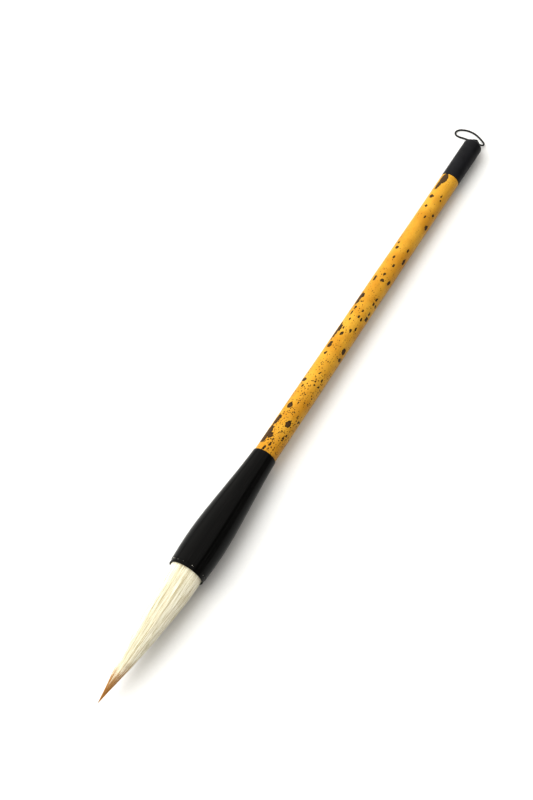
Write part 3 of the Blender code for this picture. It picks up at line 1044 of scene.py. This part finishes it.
class CALLIGRAPHY_OT_bamboo_handle(bpy.types.Operator):
    """Grow the spotted bamboo handle, and paint the dowel inside it"""

    bl_idname = "calligraphy.bamboo_handle"
    bl_label = "Bamboo handle"

    def execute(self, context):
        settings = context.scene.brush_bamboo
        dowel_bore, dowel_depth = 2.88, 25.3
        spigot_bore, spigot_depth = 2.78, 11.3
        hollow, deepest_skin = 1.99, 3.4
        start, end = BAMBOO_SPAN
        ends = dict(outer_line("bamboo_handle", start, end))
        front_radius, rear_radius = ends[min(ends)], ends[max(ends)]
        front = FERRULE_SPAN[1] + GAP
        wall = [
            (station, front_radius + (rear_radius - front_radius) * (station - start) / (end - start), 0.0)
            for station in np.linspace(front + 0.4, end - 0.4, 300)
        ]
        corners = [
            (front, dowel_bore, 0.05),
            (front, front_radius, 0.12),
            *wall,
            (end, rear_radius, 0.12),
            (end, spigot_bore, 0.05),
            (end - spigot_depth, spigot_bore, 0.0),
            (end - spigot_depth, hollow, 0.0),
            (start + dowel_depth, hollow, 0.0),
            (start + dowel_depth, dowel_bore, 0.0),
        ]
        points, faces = turn(rounded(corners), 112)
        radii = np.hypot(points[:, 0], points[:, 1])
        bearings = np.degrees(np.arctan2(points[:, 1], -points[:, 0]))
        outside = radii > deepest_skin
        waver = self.waver(points[:, 2], np.radians(bearings)) * settings.waver / MM
        points[outside, :2] *= (1 + waver / np.maximum(radii, 1.0))[outside, None]
        depth = np.where(outside, self.mark_depth(points[:, 2], bearings), -3.0)
        attributes = {"mark_depth": depth, "crowd": self.crowd(points[:, 2])}
        obj = make_piece("bamboo_grown", points, faces, bamboo_finish(), attributes)
        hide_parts("bamboo_handle")
        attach(obj, "brush")
        wood, dark_wood = (0.62, 0.42, 0.22), (0.46, 0.28, 0.12)
        repaint("handle_dowel", plain_finish("dowel_wood", wood, dark_wood, 0.65, 3.0, 0.1))
        return {"FINISHED"}

    def waver(self, stations, angles):
        """Slow swelling and flattening of the natural surface, about 1 at most either way."""
        swell = np.sin(stations / 11.0 + 0.8) + 0.6 * np.sin(stations / 4.7 + 2.1)
        flat = 0.5 * np.cos(2 * angles + stations / 23.0) + 0.25 * np.cos(3 * angles - stations / 14.0)
        return 0.4 * (swell + 2 * flat) - 0.5

    def crowd(self, stations):
        """How closely the small specks stand: most next to the ferrule, and fewest near the cap."""
        front = np.clip((106.0 - stations) / 16.0, 0.0, 1.0)
        middle = np.clip((158.0 - stations) / 20.0, 0.0, 1.0)
        return 0.60 + 0.16 * middle + 0.30 * front

    def mark_depth(self, stations, bearings):
        """How far inside the nearest growth mark each point is, in millimetres, and negative outside them."""
        depth = np.full(len(stations), -3.0)
        for station, bearing, length, width in GROWTH_MARKS:
            across = np.radians((bearings - bearing + 180.0) % 360.0 - 180.0) * HANDLE_RADIUS
            share = np.hypot((stations - station) / (length / 2), across / (width / 2))
            depth = np.maximum(depth, (1.0 - share) * min(length, width) / 2)
        return depth


class CALLIGRAPHY_OT_ferrule(bpy.types.Operator):
    """Turn the polished bell ferrule, with its lip, its ledge and the glue left on it"""

    bl_idname = "calligraphy.ferrule"
    bl_label = "Ferrule"

    def execute(self, context):
        settings = context.scene.brush_ferrule
        lip_wall, cup_depth = 0.40, 18.0
        socket, socket_depth, core_hole = 2.89, 18.0, 1.49
        lip = settings.lip_length / MM
        edge = settings.edge / MM
        end = FERRULE_SPAN[1]
        lip_radius = outer_line("ferrule", 0.0, 0.0)[0][1]
        bell = smooth_line(outer_line("ferrule", lip, end), 5)
        ledge_radius, rim_radius = bell[0][1], bell[-1][1]
        corners = [
            (0.0, lip_radius - lip_wall, 0.06),
            (0.0, lip_radius, 0.13),
            (lip, lip_radius, 0.05),
            (lip, ledge_radius, edge),
            *[(station, radius, 0.0) for station, radius in bell[3:-3]],
            (end, rim_radius, 0.28),
            (end, socket, 0.08),
            (end - socket_depth, socket, 0.0),
            (end - socket_depth, core_hole, 0.0),
            (cup_depth, core_hole, 0.0),
            (cup_depth, lip_radius - lip_wall, 0.0),
        ]
        points, faces = turn(rounded(corners), 144)
        obj = make_piece("ferrule_turned", points, faces, horn_finish())
        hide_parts("ferrule")
        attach(obj, "brush")
        self.leave_glue(lip, lip_radius)
        return {"FINISHED"}

    def leave_glue(self, lip, lip_radius):
        """Chips of dried glue along the ledge and the lip."""
        rng = np.random.default_rng(8)
        pale, dull = (0.70, 0.67, 0.60), (0.36, 0.32, 0.26)
        glue = plain_finish("dried_glue", pale, dull, 0.45, 2.0, 2.0, own_place=True)
        bm = bmesh.new()
        for bearing, size, longer in GLUE_CHIPS:
            turn_round = Matrix.Rotation(math.radians(180 - bearing), 4, "Z")
            place = Matrix.Translation((lip_radius + 0.02, 0.0, lip - rng.uniform(0.05, 0.45)))
            tilt = Matrix.Rotation(rng.uniform(-0.5, 0.5), 4, "X")
            matrix = turn_round @ place @ (Matrix.Diagonal((0.30, longer, 1.0, 1.0)) @ tilt)
            chip = bmesh.ops.create_icosphere(bm, subdivisions=2, radius=size, matrix=matrix)
            for vert in chip["verts"]:
                vert.co += Vector(rng.normal(0.0, 0.14 * size, 3))
        points = [tuple(vert.co) for vert in bm.verts]
        faces = [[vert.index for vert in face.verts] for face in bm.faces]
        bm.free()
        obj = make_piece("glue_chips", points, faces, glue)
        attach(obj, "brush")


class CALLIGRAPHY_OT_tuft(bpy.types.Operator):
    """Lay the hairs of the tuft, and paint the binding and the seal at its root"""

    bl_idname = "calligraphy.tuft"
    bl_label = "Hair tuft"

    def execute(self, context):
        settings = context.scene.brush_hair
        full = max(radius for _, radius in outer_line("cover_hair_roots", *span("cover_hair_roots")))
        share = full / TUFT_LINE[-1][1]
        self.outline = [(TIP + reach, share * radius) for reach, radius in smooth_line(TUFT_LINE, 4)]
        self.lean = settings.lean / MM
        rng = np.random.default_rng(21)

        white = hair_finish("goat_hair", settings.cover_colour, settings.cover_yellow_and_painted_shade, settings.core_colour)
        # Darker brown that the core strands mix towards by their tone, so it is both darker hairs and painted
        # shade in the grooves between locks.
        brown_dark = tuple(0.5 * value for value in settings.core_colour)
        brown = hair_finish("weasel_hair", settings.core_colour, brown_dark, settings.core_colour)

        bundle = self.make_bundle(white, rng)
        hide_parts("cover_hairs", "lining_hairs", "cover_hair_roots", "lining_hair_roots")
        count, radius = settings.cover_count, settings.strand_radius / MM
        covers = self.make_strands("cover_strands", white, count, radius, (1.2, 5.0), (2.0, 14.0), rng)
        count, radius = settings.core_count, 0.8 * radius
        cores = self.make_strands("core_strands", brown, count, radius, (-47.0, -37.0), (0.0, 2.4), rng)
        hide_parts("core_hairs", "core_hair_roots")
        for obj in (bundle, covers, cores):
            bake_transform(obj)
        thread, dark_thread = (0.70, 0.62, 0.48), (0.52, 0.43, 0.30)
        repaint("root_binding", plain_finish("waxed_thread", thread, dark_thread, 0.7, 5.0, 5.0))
        amber, dark_amber = (0.36, 0.16, 0.04), (0.22, 0.08, 0.02)
        repaint("rosin_seal", plain_finish("amber_rosin", amber, dark_amber, 0.28, 1.0, 1.0))
        return {"FINISHED"}

    def radius_at(self, stations):
        marks, radii = zip(*self.outline)
        return np.interp(stations, marks, radii)

    def lean_at(self, stations):
        """Sideways lean of the hair's centre, growing towards the tip."""
        straight = -22.0
        reach = np.clip((straight - stations) / (straight - TIP), 0.0, 1.0)
        return self.lean * reach**2

    def browning(self, stations, brown, fade):
        """Share of brown: full up to a reach from the tip, then gone over a fade, both in millimetres."""
        share = np.clip((stations - TIP - brown) / fade, 0.0, 1.0)
        return 0.95 * (1.0 - share * share * (3 - 2 * share))

    def locks(self, angles, stations):
        """Locks that the hair parts into, from -1 in the grooves between them to 1 on their backs."""
        drifting = [(23, 0.9, 0.22), (41, 2.1, -0.45), (61, 4.0, 0.55), (89, 0.3, -0.75), (127, 5.2, 0.90)]
        wavy = angles + 0.018 * np.sin(stations / 2.7 + 3.0 * angles)
        return sum(np.sin(waves * wavy + start + drift * stations) for waves, start, drift in drifting) / 3.0

    def make_bundle(self, material, rng):
        """Solid body of hair under the loose strands, ridged in locks, and pinched where it is bound."""
        stations = np.concatenate([np.linspace(TIP + 0.4, -4.0, 90), np.linspace(-3.0, 8.6, 10)])
        outline = [(TIP, 0.0), *[(station, float(0.965 * self.radius_at(station))) for station in stations]]
        root, bound = 6.30, 5.62
        outline += [(9.6, root), (9.95, bound), (13.05, bound), (13.4, root)]
        outline += [(HAIR_END - 0.2, root), (HAIR_END, 6.1), (HAIR_END, 0.0)]
        points, faces = turn(outline, 128)
        angles = np.arctan2(points[:, 1], points[:, 0])
        ridges = np.zeros(len(points))
        for waves in (7, 11, 17, 26, 31, 43, 56):
            drift = rng.uniform(-0.02, 0.02) * points[:, 2]
            height, start = rng.uniform(0.4, 1.0), rng.uniform(0, math.tau)
            ridges += height * np.cos(waves * angles + start + drift * waves / 9)
        showing = np.clip(-points[:, 2] / 4.0, 0.0, 1.0)
        points[:, :2] *= (1 + 0.006 * ridges * showing)[:, None]
        points[:, 1] += self.lean_at(points[:, 2])
        # The body under the strands is set near the full shade colour, as painted shade in the gaps between
        # the strands.
        attributes = {"tone_and_painted_shade": np.full(len(points), 0.95), "browning": self.browning(points[:, 2], 6.0, 9.0)}
        return make_piece("hair_bundle", points, faces, material, attributes)

    def make_strands(self, name, material, count, radius, roots, shortfall, rng):
        """Loose strands as thin three-sided tapers that follow the bundle from their roots to near the tip.

        Roots are the stations where the strands start, and shortfall is how far short of the tip they end.
        """
        rows, sides = 16, 3
        root = rng.uniform(*roots, count)
        ends = TIP + rng.uniform(0.0, 1.0, count) ** 1.3 * (shortfall[1] - shortfall[0]) + shortfall[0]
        share = np.linspace(0.0, 1.0, rows) ** 0.85
        stations = root[:, None] + (ends - root)[:, None] * share
        bearing = rng.uniform(0.0, math.tau, count)[:, None]
        sway, waves = rng.normal(0.0, 0.05, count)[:, None], rng.uniform(0.6, 2.0, count)[:, None]
        curl = sway * np.sin(share * math.pi * waves)
        angles = bearing + curl + rng.normal(0.0, 0.05, count)[:, None] * share
        lift = rng.uniform(-0.05, 0.10, count)[:, None]
        loose = np.where(rng.random(count) > 0.985, rng.uniform(0.1, 0.35, count), 0.0)[:, None]
        settled = np.clip(-stations / 3.0, 0.0, 1.0)
        body = self.radius_at(np.minimum(stations, 0.0))
        locks = self.locks(angles, stations)
        fuller = np.minimum(1.0, body / 3.0)
        proud = lift + 0.09 * locks + loose * share * (1 - share) * 4
        reach = 0.985 * body + proud * settled * fuller
        thick = radius * np.clip(5.0 * (1.02 - share), 0.12, 1.0) * rng.uniform(0.7, 1.25, count)[:, None]
        thick = np.minimum(thick, 0.25 * body + 0.012)
        radial = np.stack([np.cos(angles), np.sin(angles), np.zeros_like(angles)], axis=-1)
        around = np.stack([-np.sin(angles), np.cos(angles), np.zeros_like(angles)], axis=-1)
        centre = radial * reach[..., None]
        centre[..., 2] = stations
        centre[..., 1] += self.lean_at(stations)
        corners = [
            centre + thick[..., None] * (math.cos(turn_by) * radial + math.sin(turn_by) * around)
            for turn_by in (0.0, math.tau / 3, 2 * math.tau / 3)
        ]
        points = np.stack(corners, axis=2).reshape(-1, 3)
        first = (np.arange(count) * rows * sides)[:, None]
        faces = []
        for row in range(rows - 1):
            for side in range(sides):
                a, b = row * sides + side, row * sides + (side + 1) % sides
                ring = [first + a, first + b, first + b + sides, first + a + sides]
                faces.append(np.concatenate(ring, axis=1))
        faces = [tuple(face) for face in np.concatenate(faces)]
        last = (rows - 1) * sides
        for cap in ((2, 1, 0), (last, last + 1, last + 2)):
            faces += [tuple(face) for face in first + np.array(cap)]
        # Tone is partly each strand's own random colour and partly painted shade: strands in the grooves
        # between locks are pushed towards the shade colour, and those on the locks' backs away from it.
        tone_and_painted_shade = 0.10 - 0.34 * locks + 0.62 * rng.uniform(0.0, 1.0, count)[:, None] ** 3
        # The strands are brown for some way from the tip, and for longer on the -Y side.
        dipped = 5.2 - 4.5 * np.minimum(0.0, np.sin(bearing[:, 0]))
        brown = np.repeat(dipped + rng.normal(0.0, 4.2, count), rows * sides)
        attributes = {
            "tone_and_painted_shade": np.repeat(np.clip(tone_and_painted_shade, 0.0, 1.0).ravel(), sides),
            "browning": self.browning(points[:, 2], brown, 7.0),
        }
        return make_piece(name, points, faces, material, attributes)


OPERATORS = (
    CALLIGRAPHY_OT_stage,
    CALLIGRAPHY_OT_hanging_loop,
    CALLIGRAPHY_OT_end_cap,
    CALLIGRAPHY_OT_bamboo_handle,
    CALLIGRAPHY_OT_ferrule,
    CALLIGRAPHY_OT_tuft,
)


class CALLIGRAPHY_PT_panel(bpy.types.Panel):
    """Steps that build the brush, and the sizes and colours they use"""

    bl_idname = "CALLIGRAPHY_PT_panel"
    bl_label = "Calligraphy Brush"
    bl_space_type = "VIEW_3D"
    bl_region_type = "UI"
    bl_category = "Calligraphy Brush"

    def draw(self, context):
        for operator in OPERATORS:
            self.layout.operator(operator.bl_idname)
        for name in SETTINGS:
            box = self.layout.box()
            group = getattr(context.scene, name)
            for key in group.__annotations__:
                box.prop(group, key)


SETTINGS = {
    "brush_stage": StageSettings,
    "brush_loop": LoopSettings,
    "brush_cap": CapSettings,
    "brush_bamboo": BambooSettings,
    "brush_ferrule": FerruleSettings,
    "brush_hair": HairSettings,
}


def register():
    for name, settings in SETTINGS.items():
        bpy.utils.register_class(settings)
        setattr(bpy.types.Scene, name, bpy.props.PointerProperty(type=settings))
    for operator in OPERATORS:
        bpy.utils.register_class(operator)
    bpy.utils.register_class(CALLIGRAPHY_PT_panel)


def unregister():
    bpy.utils.unregister_class(CALLIGRAPHY_PT_panel)
    for operator in reversed(OPERATORS):
        bpy.utils.unregister_class(operator)
    for name, settings in SETTINGS.items():
        delattr(bpy.types.Scene, name)
        bpy.utils.unregister_class(settings)


def main():
    """Builds the brush in order."""
    register()
    bpy.ops.calligraphy.stage()
    bpy.ops.calligraphy.hanging_loop()
    bpy.ops.calligraphy.end_cap()
    bpy.ops.calligraphy.bamboo_handle()
    bpy.ops.calligraphy.ferrule()
    bpy.ops.calligraphy.tuft()


if __name__ == "__main__":
    main()
